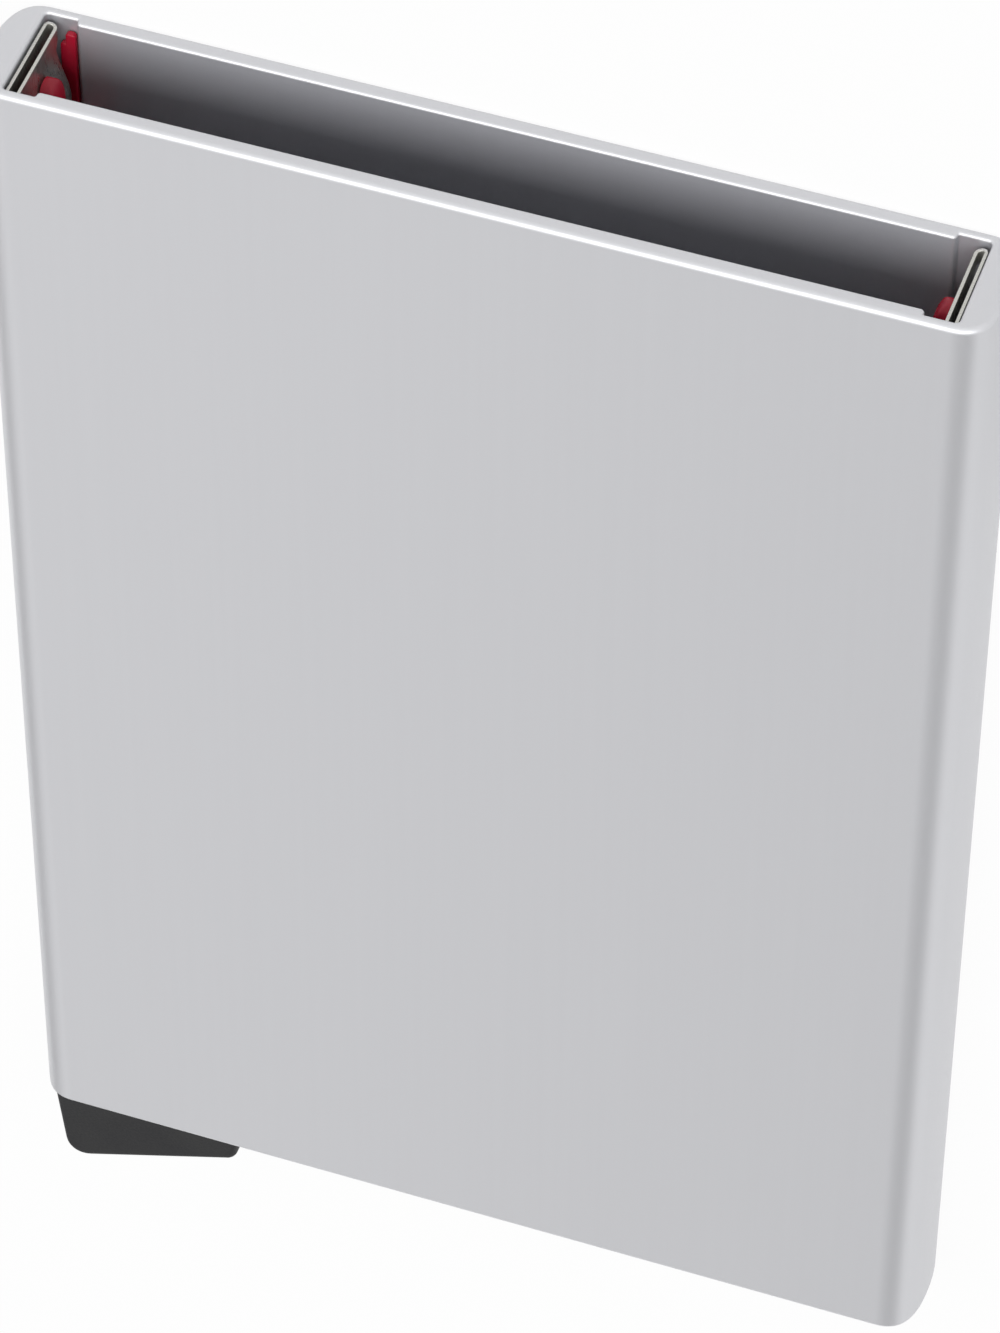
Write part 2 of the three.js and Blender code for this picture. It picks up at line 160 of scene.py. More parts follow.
def pull_face(bm, face, run):
    """Extrudes a face along run, leaving it where it was, and returns the face at the far end."""
    geom = bmesh.ops.extrude_face_region(bm, geom=[face])["geom"]
    bmesh.ops.translate(bm, verts=[g for g in geom if isinstance(g, bmesh.types.BMVert)], vec=run)
    return next(g for g in geom if isinstance(g, bmesh.types.BMFace))


def prism(corners, put, run):
    bm = rounded_face(corners, put)
    pull_face(bm, next(iter(bm.faces)), run)
    bmesh.ops.recalc_face_normals(bm, faces=bm.faces)
    return bm


def edges_at(bm, axis, value):
    """Edges that lie in the plane where the coordinate of that axis has the value."""
    return [e for e in bm.edges if all(abs(v.co[axis] - value) < TOUCH for v in e.verts)]


def soften(bm, edges, radius, segments=EDGE_STEPS):
    bmesh.ops.bevel(bm, geom=edges, offset=radius, offset_type="OFFSET", affect="EDGES",
                    segments=segments, profile=0.5, material=-1)


print("soft edges have", EDGE_STEPS, "steps, unless a piece asks for others")

# %% [markdown]
# A finished shape becomes an object that stands for its CAD node. Its faces are shaded smooth, except
# across edges sharper than `CREASE`, and weighted normals keep the large flat faces flat next to their
# small round edges.

# %% Finishing a piece
CREASE = math.radians(40)


def finish_piece(name, bm, material, node):
    bmesh.ops.remove_doubles(bm, verts=bm.verts, dist=TOUCH)
    bmesh.ops.recalc_face_normals(bm, faces=bm.faces)
    bmesh.ops.scale(bm, vec=(MM, MM, MM), verts=bm.verts)
    for face in bm.faces:
        face.smooth = True
    for edge in bm.edges:
        edge.smooth = edge.calc_face_angle(0) < CREASE
    mesh = bpy.data.meshes.new(name)
    bm.to_mesh(mesh)
    bm.free()
    mesh.materials.append(material)
    piece = bpy.data.objects.new(name, mesh)
    scene.collection.objects.link(piece)
    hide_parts(node)
    print(name, "has", len(mesh.polygons), "faces")
    return piece


def flat_faces_first(piece):
    normals = piece.modifiers.new("flat faces", "WEIGHTED_NORMAL")
    normals.keep_sharp = True


print("edges of more than", round(math.degrees(CREASE)), "degrees stay sharp")

# %% [markdown]
# ## Tools for finishes
# A finish is a Principled shader whose colour, roughness and bump vary a little, as they do on a real
# surface. An image could hold that variation, but noise on Object coordinates has a true size in metres and
# needs no file. `noise` stretches the pattern along an axis where a process leaves lines, such as extrusion
# or rolling.

# %% Noise
NOISE_DETAIL = 2


def new_finish(name):
    material = bpy.data.materials.new(name)
    material.use_nodes = True
    return material, material.node_tree, material.node_tree.nodes["Principled BSDF"]


def noise(tree, size, stretch=(1, 1, 1), detail=NOISE_DETAIL):
    """Noise whose grains are about size across, drawn out along an axis by its stretch."""
    coords = tree.nodes.new("ShaderNodeTexCoord")
    mapping = tree.nodes.new("ShaderNodeMapping")
    mapping.inputs["Scale"].default_value = [1 / s for s in stretch]
    texture = tree.nodes.new("ShaderNodeTexNoise")
    texture.inputs["Scale"].default_value = 1 / size
    texture.inputs["Detail"].default_value = detail
    tree.links.new(coords.outputs["Object"], mapping.inputs["Vector"])
    tree.links.new(mapping.outputs["Vector"], texture.inputs["Vector"])
    return texture.outputs["Fac"]


print("noise has", NOISE_DETAIL, "levels of detail, unless a finish asks for more")

# %% [markdown]
# Most of a noise lies between `NOISE_LOW` and `NOISE_HIGH`. Three helpers turn that middle into a range of
# numbers, a mix of two colours, or a height.

# %% Variation from noise
NOISE_LOW = 0.3
NOISE_HIGH = 0.7


def mapped(tree, value, source, target):
    """A node that maps a value from the range source to the range target."""
    node = tree.nodes.new("ShaderNodeMapRange")
    node.inputs["From Min"].default_value, node.inputs["From Max"].default_value = source
    node.inputs["To Min"].default_value, node.inputs["To Max"].default_value = target
    tree.links.new(value, node.inputs["Value"])
    return node


def spread(tree, value, low, high):
    """Maps the middle of a noise to the range from low to high."""
    return mapped(tree, value, (NOISE_LOW, NOISE_HIGH), (low, high)).outputs["Result"]


def tint(tree, value, dark, light):
    """Mixes two colours by a noise."""
    ramp = tree.nodes.new("ShaderNodeValToRGB")
    ends = ((NOISE_LOW, dark), (NOISE_HIGH, light))
    for element, (position, colour) in zip(ramp.color_ramp.elements, ends):
        element.position = position
        element.color = (*colour, 1)
    tree.links.new(value, ramp.inputs["Fac"])
    return ramp.outputs["Color"]


def bump(tree, value, depth, normal=None):
    """Raises the surface by up to depth, on top of another bump if one is given."""
    node = tree.nodes.new("ShaderNodeBump")
    node.inputs["Distance"].default_value = depth
    tree.links.new(value, node.inputs["Height"])
    if normal:
        tree.links.new(normal, node.inputs["Normal"])
    return node.outputs["Normal"]


print("noise is used from", NOISE_LOW, "to", NOISE_HIGH)

# %% [markdown]
# ## Satin anodised aluminium
# The tube is extruded, blasted and anodised. Extrusion leaves faint lines along its length, blasting a very
# fine grain, and the clear oxide makes the metal look satin rather than polished. A bare metal shader would
# be too dark beside the white table, so the oxide's pale scatter is made by setting Metallic to about a
# half. The inside walls get a second finish, a little smoother and with deeper lines, whose darker colour is
# painted shade for the inside of the slot. So the tube has two finishes.

# %% Aluminium finishes
DIE_LINE_WIDTH = 0.6 * MM
DIE_LINE_STRETCH = 60
BLAST_GRAIN = 0.12 * MM
BLAST_DEPTH = 0.002 * MM
OXIDE_TONE_RANGE = 0.006
OXIDE_ROUGH_RANGE = 0.04


def aluminium_finish(name, tone, metallic, rough, line_depth):
    material, tree, shader = new_finish(name)
    lines = noise(tree, DIE_LINE_WIDTH, stretch=(1, DIE_LINE_STRETCH, 1))
    grain = noise(tree, BLAST_GRAIN)
    shader.inputs["Metallic"].default_value = metallic
    lighter = [value + OXIDE_TONE_RANGE for value in tone]
    tree.links.new(tint(tree, lines, tone, lighter), shader.inputs["Base Color"])
    roughness = spread(tree, grain, rough - OXIDE_ROUGH_RANGE, rough + OXIDE_ROUGH_RANGE)
    tree.links.new(roughness, shader.inputs["Roughness"])
    drawn = bump(tree, lines, line_depth)
    tree.links.new(bump(tree, grain, BLAST_DEPTH, drawn), shader.inputs["Normal"])
    return material


satin = aluminium_finish("satin_aluminium", (0.7, 0.703, 0.728), metallic=0.5, rough=0.43,
                         line_depth=0.0005 * MM)
# The inside finish is darker than the outside one: its colour is painted shade for the slot's inside.
shaded_inside = aluminium_finish("inside_aluminium_painted_shade", (0.55, 0.553, 0.588), metallic=0.55, rough=0.38,
                            line_depth=0.002 * MM)
print("finishes:", satin.name, shaded_inside.name)

# %% [markdown]
# ## The case tube
# The tube is one extrusion with round sides, a card slot, and a deeper pocket at each end of the slot. A
# Boolean could cut the slot out of a block, but the rim would then be a ragged face. Here the skin and the
# hollow are two open shells, and the flat rim is filled in between their end loops. The tube is the same at
# both ends, so only half of it is modelled, and the half is mirrored. Its walls come first.

# %% Walls of the tube
END_WALL = 2.25
POCKET_DEPTH = 2.1
FACE_WALL = 1.1
POCKET_STEP = 0.43

case_low, case_high = box_mm("case_tube")
mid = case_high.z / 2
pocket_x = case_high.x - END_WALL
slot_x = pocket_x - POCKET_DEPTH
slot_half = mid - FACE_WALL
pocket_half = slot_half + POCKET_STEP
print("card slot:", round(2 * slot_x, 2), "x", round(2 * slot_half, 2), "mm")
print("pockets:", round(2 * pocket_x, 2), "mm from wall to wall,", round(2 * pocket_half, 2), "mm high")

# %% [markdown]
# A quarter of the skin's section is one Bezier curve, mirrored twice: its handles make the sides fuller
# than an ellipse. The section is filled and pulled to the mouth, its rim is rounded, and its two end faces
# are taken away.

# %% Skin of the tube
SIDE_REACH = 2.55
SIDE_FULLNESS = 0.7
SIDE_STEPS = 18
RIM_ROUND = 0.4
RIM_STEPS = 8


def delete_faces(bm, faces):
    bmesh.ops.delete(bm, geom=faces, context="FACES_ONLY")


def tube_skin(mouth):
    side_x = case_high.x
    flat_x = side_x - SIDE_REACH
    handle_x = flat_x + SIDE_FULLNESS * SIDE_REACH
    handle_z = SIDE_FULLNESS * mid
    curve = interpolate_bezier((flat_x, 0, mid), (handle_x, 0, mid), (side_x, 0, handle_z), (side_x, 0, 0),
                               SIDE_STEPS + 1)
    bm = bmesh.new()
    verts = [bm.verts.new(point) for point in [(0, 0, mid), *curve]]
    for pair in zip(verts, verts[1:]):
        bm.edges.new(pair)
    for axis in "XZ":
        bmesh.ops.mirror(bm, geom=[*bm.verts, *bm.edges], matrix=Matrix.Identity(4), merge_dist=TOUCH,
                         axis=axis)
    bmesh.ops.translate(bm, verts=bm.verts, vec=(0, 0, mid))
    section = bmesh.ops.edgeloop_fill(bm, edges=bm.edges)["faces"][0]
    pull_face(bm, section, (0, mouth, 0))
    bmesh.ops.recalc_face_normals(bm, faces=bm.faces)
    soften(bm, edges_at(bm, 1, mouth), RIM_ROUND, segments=RIM_STEPS)
    delete_faces(bm, [f for f in bm.faces if abs(f.normal.y) > 1 - TOUCH])
    return bm


print("the faces are flat for", round(2 * (case_high.x - SIDE_REACH), 2), "mm between the round sides")

# %% [markdown]
# The hollow starts at the mouth, wider by the lip's round. Insetting its face step by step, each time a
# little deeper, draws the round lip, and the last face is pulled to the middle of the tube. The walls below
# the lip get the second, darker finish, whose colour paints the shade inside the slot.

# %% Hollow of the tube
LIP_ROUND = 0.22
LIP_STEPS = 6
POCKET_CORNER_RADIUS = 0.3
STEP_ROUND = 0.05
STEP_FILLET = 0.12
# Slot of the darker inside finish, whose colour is painted shade.
SHADED_INSIDE_FINISH = 1


def tube_hollow(mouth):
    lip = LIP_ROUND
    quarter = [
        (slot_x - lip, slot_half + lip, STEP_ROUND),
        (slot_x - lip, pocket_half + lip, STEP_FILLET + lip),
        (pocket_x + lip, pocket_half + lip, POCKET_CORNER_RADIUS + lip),
    ]
    back_right = [(x, mid - z, r) for x, z, r in quarter]
    front_right = [(x, mid + z, r) for x, z, r in reversed(quarter)]
    right_side = back_right + front_right
    left_side = [(-x, z, r) for x, z, r in reversed(right_side)]
    bm = rounded_face(right_side + left_side, across(mouth))
    cap = next(iter(bm.faces))
    downward = -1 if cap.normal.y > 0 else 1
    turns = [math.pi / 2 * i / LIP_STEPS for i in range(LIP_STEPS + 1)]
    for before, after in zip(turns, turns[1:]):
        inward = lip * (math.sin(after) - math.sin(before))
        deeper = lip * (math.cos(before) - math.cos(after))
        bmesh.ops.inset_individual(bm, faces=[cap], thickness=inward, depth=downward * deeper,
                                   use_even_offset=True)
    far_cap = pull_face(bm, cap, (0, lip - mouth, 0))
    # The inner walls take the darker finish, which paints the slot's shade into their colour.
    for edge in far_cap.edges:
        for face in edge.link_faces:
            face.material_index = SHADED_INSIDE_FINISH
    delete_faces(bm, [cap, far_cap])
    return bm


print("the rim is", round(END_WALL - RIM_ROUND - LIP_ROUND, 2), "mm wide at the sides, between its rounds")

# %% [markdown]
# Now the two shells are put together. The ring between their loops at the mouth is filled with triangles,
# and the half tube is mirrored.

# %% Case tube
def append(bm, other):
    """Adds the other shape to bm."""
    mesh = bpy.data.meshes.new("appended")
    other.to_mesh(mesh)
    other.free()
    bm.from_mesh(mesh)
    bpy.data.meshes.remove(mesh)


def case_tube():
    mouth = case_high.y
    bm = tube_skin(mouth)
    append(bm, tube_hollow(mouth))
    rim = [e for e in edges_at(bm, 1, mouth) if e.is_boundary]
    bmesh.ops.triangle_fill(bm, edges=rim, use_beauty=True, normal=(0, 1, 0))
    bmesh.ops.mirror(bm, geom=[*bm.verts, *bm.edges, *bm.faces], matrix=Matrix.Identity(4),
                     merge_dist=TOUCH, axis="Y")
    piece = finish_piece("case_extrusion", bm, satin, "case_tube")
    # The second slot holds the inside finish, darkened as painted shade.
    piece.data.materials.append(shaded_inside)
    return piece


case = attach(case_tube(), "case")
flat_faces_first(case)

# %% [markdown]
# ## Rolled spring steel
# The clips are bent from thin stainless strip. The surface is far brighter and smoother than the anodised
# case. A plain bright metal would pass from afar, but rolling leaves fine lines along the strip, so colour,
# roughness and bump all follow one noise that is drawn out along it.

# %% Spring steel finish
ROLLING_LINE_WIDTH = 0.12 * MM
ROLLING_LINE_STRETCH = 40
ROLLING_LINE_DEPTH = 0.004 * MM


def rolled_steel():
    material, tree, shader = new_finish("rolled_steel")
    lines = noise(tree, ROLLING_LINE_WIDTH, stretch=(1, ROLLING_LINE_STRETCH, 1), detail=3)
    colour = tint(tree, lines, dark=(0.53, 0.525, 0.49), light=(0.61, 0.605, 0.57))
    shader.inputs["Metallic"].default_value = 0.9
    tree.links.new(colour, shader.inputs["Base Color"])
    tree.links.new(spread(tree, lines, low=0.25, high=0.36), shader.inputs["Roughness"])
    tree.links.new(bump(tree, lines, ROLLING_LINE_DEPTH), shader.inputs["Normal"])
    return material


steel = rolled_steel()
print("finish:", steel.name)

# %% [markdown]
# ## The spring clips
# Each clip is one strip with two leaves: a flat one against the pocket's wall and a bowed one towards the
# cards, joined by a fold at the head and at the foot. The bow is a flat run between two smooth ramps, and
# the short tabs at the ends aren't bowed.

# %% Bow of a clip
SHEET = 0.22
LEAF_GAP = 0.4
TAB = 1.2
RAMP = 3.8

right_clip = box_mm("right_spring_clip")


def leaf_face(y, low, high):
    """Distance of the inner leaf's face from the case's middle at y: far at the tabs, bowed between them."""
    near, far = sorted((abs(low.x), abs(high.x)))
    tab_face = far - 2 * SHEET - LEAF_GAP
    share = min(max((min(y - low.y, high.y - y) - TAB) / RAMP, 0), 1)
    return tab_face + (near - tab_face) * share * share * (3 - 2 * share)


bow = leaf_face(right_clip[1].y, *right_clip) - leaf_face(0, *right_clip)
print("the inner leaf bows by", round(bow, 2), "mm")

# %% [markdown]
# A clip could be cut from solid blocks, but a real clip is a sheet, so here one long edge is pulled down to
# make a leaf, spun half a turn to make the fold, and pulled up again. Between the tabs the fold is taken
# away, the inner leaf is bowed, and the head falls a little towards it.

# %% Sheet of a clip
LEAF_SETBACK = 0.3
LEAF_DROP = 0.2
RAMP_STEPS = 10
FOLD_STEPS = 10


def pull_edges(bm, edges, run):
    """Extrudes a row of edges along run, and returns the new row."""
    geom = bmesh.ops.extrude_edge_only(bm, edges=edges)["geom"]
    verts = {g for g in geom if isinstance(g, bmesh.types.BMVert)}
    bmesh.ops.translate(bm, verts=list(verts), vec=run)
    return [g for g in geom if isinstance(g, bmesh.types.BMEdge) and set(g.verts) <= verts]


def clip_sheet(low, high, side, outer, inner):
    """The clip without its thickness: a flat leaf at outer, and a bowed leaf whose tabs are at inner."""
    foot, head, front = low.y, high.y, high.z
    fold_z = low.z + SHEET + LEAF_GAP / 2
    ramps = [TAB + RAMP * i / RAMP_STEPS for i in range(RAMP_STEPS + 1)]
    rows = [foot, *(foot + r for r in ramps), *(head - r for r in reversed(ramps)), head]
    bm = bmesh.new()
    verts = [bm.verts.new((outer, y, front)) for y in rows]
    row = [bm.edges.new(pair) for pair in zip(verts, verts[1:])]
    row = pull_edges(bm, row, (0, 0, fold_z - front))
    folded = bmesh.ops.spin(bm, geom=row, cent=((outer + inner) / 2, 0, fold_z), axis=(0, 1, 0),
                            angle=side * math.pi, steps=FOLD_STEPS, use_duplicate=False)["geom_last"]
    row = [g for g in folded if isinstance(g, bmesh.types.BMEdge)]
    pull_edges(bm, row, (0, 0, front - fold_z))
    open_back = [f for f in bm.faces if f.calc_center_median().z < fold_z
                 and foot + TAB < f.calc_center_median().y < head - TAB]
    bmesh.ops.delete(bm, geom=open_back, context="FACES")
    for vert in bm.verts:
        if vert.co.y > head - TOUCH:
            vert.co.y -= LEAF_DROP * (outer - vert.co.x) / (outer - inner)
        if abs(vert.co.x - inner) < TOUCH:
            vert.co.x = side * (leaf_face(vert.co.y, low, high) + SHEET / 2)
            if abs(vert.co.z - fold_z) < TOUCH and foot + TAB + TOUCH < vert.co.y < head - TAB - TOUCH:
                vert.co.z += LEAF_SETBACK
    return bm


print("a ramp has", RAMP_STEPS, "rows, and a fold", FOLD_STEPS, "steps")

# %% [markdown]
# Solidify gives the sheet its thickness, and a Bevel rounds its cut edges. Both stay live.

# %% Spring clips
HANDS = (("left", -1), ("right", 1))
SHEET_EDGE_ROUND = 0.04
MODIFIER_EDGE_STEPS = 2


def spring_clip(hand, side):
    low, high = box_mm(f"{hand}_spring_clip")
    outer = side * (max(abs(low.x), abs(high.x)) - SHEET / 2)
    inner = side * (leaf_face(high.y, low, high) + SHEET / 2)
    bm = clip_sheet(low, high, side, outer, inner)
    piece = finish_piece(f"{hand}_folded_clip", bm, steel, f"{hand}_spring_clip")
    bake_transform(piece)
    sheet = piece.modifiers.new("sheet", "SOLIDIFY")
    sheet.thickness = SHEET * MM
    sheet.offset = 0
    edges = piece.modifiers.new("edges", "BEVEL")
    edges.width = SHEET_EDGE_ROUND * MM
    edges.segments = MODIFIER_EDGE_STEPS
    edges.limit_method = "ANGLE"
    flat_faces_first(piece)


for hand, side in HANDS:
    spring_clip(hand, side)

# %% [markdown]
# ## Red rubber
# The pads are moulded in a soft rubber of a deep, even red under a thin sheen. Subsurface light could be
# added, but at this size it hardly shows, so the finish is a plain coloured one. Its colour drifts a
# little, and a fine texture breaks up its highlights.

# %% Rubber finish
RUBBER_CLOUD = 2.5 * MM
RUBBER_GRAIN = 0.1 * MM
RUBBER_GRAIN_DEPTH = 0.006 * MM


def red_rubber():
    material, tree, shader = new_finish("red_rubber")
    cloud = noise(tree, RUBBER_CLOUD)
    grain = noise(tree, RUBBER_GRAIN)
    colour = tint(tree, cloud, dark=(0.44, 0.009, 0.03), light=(0.53, 0.014, 0.042))
    tree.links.new(colour, shader.inputs["Base Color"])
    shader.inputs["Specular IOR Level"].default_value = 0.3
    tree.links.new(spread(tree, grain, low=0.18, high=0.26), shader.inputs["Roughness"])
    tree.links.new(bump(tree, grain, RUBBER_GRAIN_DEPTH), shader.inputs["Normal"])
    return material


rubber = red_rubber()
print("finish:", rubber.name)

# %% [markdown]
# ## Joining and cutting solids
# A pad with a lug, or a lever with its hub and steps, is one moulding made of several plain solids. bmesh
# has no operator that joins solids, so two shapes are handed to the Boolean modifier for a moment, and its
# result comes back as a new shape. Cutting leaves scraps on flat faces that two solids share, so those are
# joined again.

# %% Boolean helper
FLAT = math.radians(0.5)


def combine(base, tool, operation):
    objects = []
    for bm in (base, tool):
        mesh = bpy.data.meshes.new("solid")
        bm.to_mesh(mesh)
        bm.free()
        objects.append(bpy.data.objects.new("solid", mesh))
        scene.collection.objects.link(objects[-1])
    modifier = objects[0].modifiers.new("combine", "BOOLEAN")
    modifier.object = objects[1]
    modifier.operation = operation
    modifier.solver = "EXACT"
    evaluated = objects[0].evaluated_get(bpy.context.evaluated_depsgraph_get())
    result = bmesh.new()
    result.from_mesh(evaluated.to_mesh())
    for obj in objects:
        mesh = obj.data
        bpy.data.objects.remove(obj)
        bpy.data.meshes.remove(mesh)
    bmesh.ops.remove_doubles(result, verts=result.verts, dist=TOUCH)
    return result


def merge_flats(bm):
    """Joins the scraps that cutting leaves on flat faces."""
    bmesh.ops.dissolve_limit(bm, angle_limit=FLAT, verts=bm.verts, edges=bm.edges)
    return bm


print("faces within", round(math.degrees(FLAT), 1), "degrees of each other count as one flat face")

# %% [markdown]
# ## The grip pads
# Each pad is a long bead with a crowned face and round ends, which lean back towards the clip's leaf. The
# two pads are mirror images, so both take their sizes from the right one. The back of a pad follows the
# leaf that it lies on, with a small gap.

# %% Back of a pad
PAD_THICKNESS = 0.65
PAD_LEAF_GAP = 0.1

pad_low, pad_high = box_mm("right_grip_pad")
pad_back_x = pad_low.x + PAD_THICKNESS


def pad_back(y):
    """Distance of the pad's back from the case's middle at y, close to the leaf behind it."""
    return min(leaf_face(y, *right_clip) - PAD_LEAF_GAP, pad_high.x)


print("the back of a pad is", round(pad_back(pad_high.y) - pad_back(0), 2), "mm further out at its head")

# %% [markdown]
# The bead could be lofted through many sections. It is less work to start from a prism whose outline is the
# bead as the cards see it. Slices are cut across and along it, and every point is then moved sideways to
# follow the leaf, less far forward towards the ends and edges, which makes the crown.

# %% Bead of a pad
PAD_CROWN = 0.5
PAD_NOSE = 1.3
PAD_NOSE_DEPTH = 0.75
PAD_LEAN = 0.35
PAD_EDGE_ROUND = 0.12
PAD_END_FLAT = 0.1
PAD_SLICE = 0.2
PAD_SLICED_LENGTH = 6
PAD_WIDTH_SLICES = 14


def slices(low, high, count):
    return [low + (high - low) * i / count for i in range(1, count)]


def pad_strip(side):
    low, high = pad_low, pad_high
    half = (high.z - low.z) / 2
    end = half - PAD_END_FLAT / 2
    corners = [(low.y, low.z, end), (high.y, low.z, end), (high.y, high.z, end), (low.y, high.z, end)]
    bm = prism(corners, lambda y, z: (side * pad_back_x, y, z), (-side * PAD_THICKNESS, 0, 0))
    soften(bm, edges_at(bm, 0, side * low.x), PAD_EDGE_ROUND)
    count = round(PAD_SLICED_LENGTH / PAD_SLICE)
    rows = slices(low.y, low.y + PAD_SLICED_LENGTH, count)
    rows += slices(high.y - PAD_SLICED_LENGTH, high.y, count)
    cuts = [((0, y, 0), (0, 1, 0)) for y in rows]
    cuts += [((0, 0, z), (0, 0, 1)) for z in slices(low.z, high.z, PAD_WIDTH_SLICES)]
    for place, direction in cuts:
        bmesh.ops.bisect_plane(bm, geom=[*bm.verts, *bm.edges, *bm.faces], dist=TOUCH,
                               plane_co=place, plane_no=direction)
    for vert in bm.verts:
        x, y, z = vert.co
        forward = (pad_back_x - abs(x)) / PAD_THICKNESS
        from_end = min(y - low.y, high.y - y)
        nose = max(1 - from_end / PAD_NOSE, 0)
        lean = max(1 - from_end / PAD_SLICED_LENGTH, 0)
        thin = PAD_NOSE_DEPTH * (1 - math.sqrt(1 - nose * nose)) + PAD_LEAN * lean * lean
        sunk = PAD_CROWN * ((z - mid) / half) ** 2
        thickness = pad_back(y) - low.x - math.hypot(thin, sunk)
        vert.co.x = side * (pad_back(y) - forward * thickness)
    return bm


print("bead:", round(pad_high.y - pad_low.y, 2), "x", round(pad_high.z - pad_low.z, 2), "mm")

# %% [markdown]
# The left pad has a lug: a thin strip on the pocket's back wall, with a tongue beside the clip's fold. A
# web turns round the back edge of the leaf and joins it to the bead. Both are plain prisms, one pulled
# through the case's thickness and one along its length.

# %% Lug of the left pad
LUG_LENGTH = 8.5
LUG_WIDTH = 1
LUG_THICKNESS = 0.35
LUG_TONGUE_WIDTH = 0.65
LUG_TONGUE_LENGTH = 0.8
LUG_CORNER_RADIUS = 0.25
LUG_EDGE_ROUND = 0.12
LUG_WEB_LENGTH = 1.5
LUG_WEB_THICKNESS = 0.5
LUG_WALL_GAP = 0.12
LUG_STEP_GAP = 0.1


def pad_lug(side, back, head):
    step_x = slot_x + LUG_STEP_GAP
    root = head - LUG_LENGTH
    shoulder = head - LUG_TONGUE_LENGTH
    front = back + LUG_THICKNESS
    strip = prism([
        (side * step_x, root, 0),
        (side * (step_x + LUG_WIDTH), root, 0),
        (side * (step_x + LUG_WIDTH), shoulder, LUG_CORNER_RADIUS),
        (side * (step_x + LUG_TONGUE_WIDTH), shoulder, 0),
        (side * (step_x + LUG_TONGUE_WIDTH), head, LUG_CORNER_RADIUS),
        (side * step_x, head, LUG_CORNER_RADIUS),
    ], lying(back), (0, 0, LUG_THICKNESS))
    soften(strip, edges_at(strip, 2, front), LUG_EDGE_ROUND)
    leaf_back = right_clip[0].z + SHEET + LEAF_GAP / 2 + LEAF_SETBACK
    web_front = mid - (pad_high.z - pad_low.z) / 4
    web = prism([
        (side * step_x, back, 0),
        (side * (step_x + LUG_WEB_THICKNESS), back, 0),
        (side * (step_x + LUG_WEB_THICKNESS), leaf_back - LUG_WALL_GAP, 0),
        (side * pad_back_x, leaf_back - LUG_WALL_GAP, 0),
        (side * pad_back_x, web_front, 0),
        (side * (pad_back_x - LUG_WEB_THICKNESS), web_front, 0),
        (side * (pad_back_x - LUG_WEB_THICKNESS), mid - slot_half + LUG_WALL_GAP, 0),
        (side * step_x, mid - slot_half + LUG_WALL_GAP, 0),
    ], across(root), (0, LUG_WEB_LENGTH, 0))
    return combine(strip, web, "UNION")


print("lug:", LUG_LENGTH, "mm long and", LUG_THICKNESS, "mm thick")

# %% [markdown]
# Now each pad is put together and rides on its own body, which slides when cards press it. The frame's
# boxes tell which pad has the lug: it is the one that reaches further up than its bead.

# %% Grip pads
def grip_pad(hand, side):
    bm = pad_strip(side)
    low, high = box_mm(f"{hand}_grip_pad")
    if high.y > pad_high.y:
        bm = combine(bm, pad_lug(side, low.z, high.y), "UNION")
    return finish_piece(f"{hand}_rubber_pad", bm, rubber, f"{hand}_grip_pad")


for hand, side in HANDS:
    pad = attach(grip_pad(hand, side), f"{hand}_grip")
    flat_faces_first(pad)

# %% [markdown]
# ## Moulded plastic
# The lever is a charcoal moulding, and the two plugs in the tube's lower end are black. A smooth dark
# plastic would shine like lacquer, but these moulds have a fine spark-eroded texture, which makes the
# mouldings matt and a little uneven.

# %% Moulding finishes
MOULD_CLOUD = 4 * MM
MOULD_TEXTURE = 0.16 * MM
MOULD_TEXTURE_DEPTH = 0.012 * MM
MOULD_ROUGH_RANGE = 0.07


def moulded_plastic(name, dark, light, rough):
    material, tree, shader = new_finish(name)
    cloud = noise(tree, MOULD_CLOUD)
    texture = noise(tree, MOULD_TEXTURE, detail=3)
    shader.inputs["Specular IOR Level"].default_value = 0.35
    tree.links.new(tint(tree, cloud, dark, light), shader.inputs["Base Color"])
    roughness = spread(tree, texture, rough - MOULD_ROUGH_RANGE, rough + MOULD_ROUGH_RANGE)
    tree.links.new(roughness, shader.inputs["Roughness"])
    tree.links.new(bump(tree, texture, MOULD_TEXTURE_DEPTH), shader.inputs["Normal"])
    return material


charcoal = moulded_plastic("charcoal_plastic", dark=(0.016, 0.016, 0.0175), light=(0.022, 0.022, 0.0225),
                           rough=0.58)
black = moulded_plastic("black_plastic", dark=(0.010, 0.010, 0.011), light=(0.016, 0.016, 0.017), rough=0.5)
print("finishes:", charcoal.name, black.name)

# %% [markdown]
# ## Bars and soft edges
# The hinge is made of round bars: a hub, a pin and their bores. Every edge of a moulding is a little round,
# as its mould is. Each could be softened as it is made, but cuts that come later would spoil it, so a Bevel
# modifier does them all at the end.

# %% Round bars
ROUND_STEPS = 64
MOULDING_EDGE_ROUND = 0.08


def round_bar(x, y, radius, z0, z1):
    bm = bmesh.new()
    bmesh.ops.create_cone(bm, cap_ends=True, segments=ROUND_STEPS, radius1=radius, radius2=radius,
                          depth=z1 - z0, matrix=Matrix.Translation((x, y, (z0 + z1) / 2)))
    return bm


def moulded_edges(piece):
    """Rounds every edge of a moulding a little, as a mould does."""
    edges = piece.modifiers.new("edges", "BEVEL")
    edges.width = MOULDING_EDGE_ROUND * MM
    edges.segments = MODIFIER_EDGE_STEPS
    edges.limit_method = "ANGLE"
    edges.angle_limit = CREASE
    flat_faces_first(piece)


print("bars have", ROUND_STEPS, "sides, and mouldings edges of", MOULDING_EDGE_ROUND, "mm")

# %% [markdown]
# ## The ejector lever
# The trigger hangs out below the case. The same moulding turns on a pin and runs on inside as a flight of
# six steps, one for each card, so that the cards come out as a fan. The frame gives the pin's place and the
# lever's box, from which the rest is measured.

# %% Places on the lever
TRIGGER_RIM_GAP = 0.4
TRIGGER_NOSE_INSET = 13.95
ARM_DEPTH = 6.6

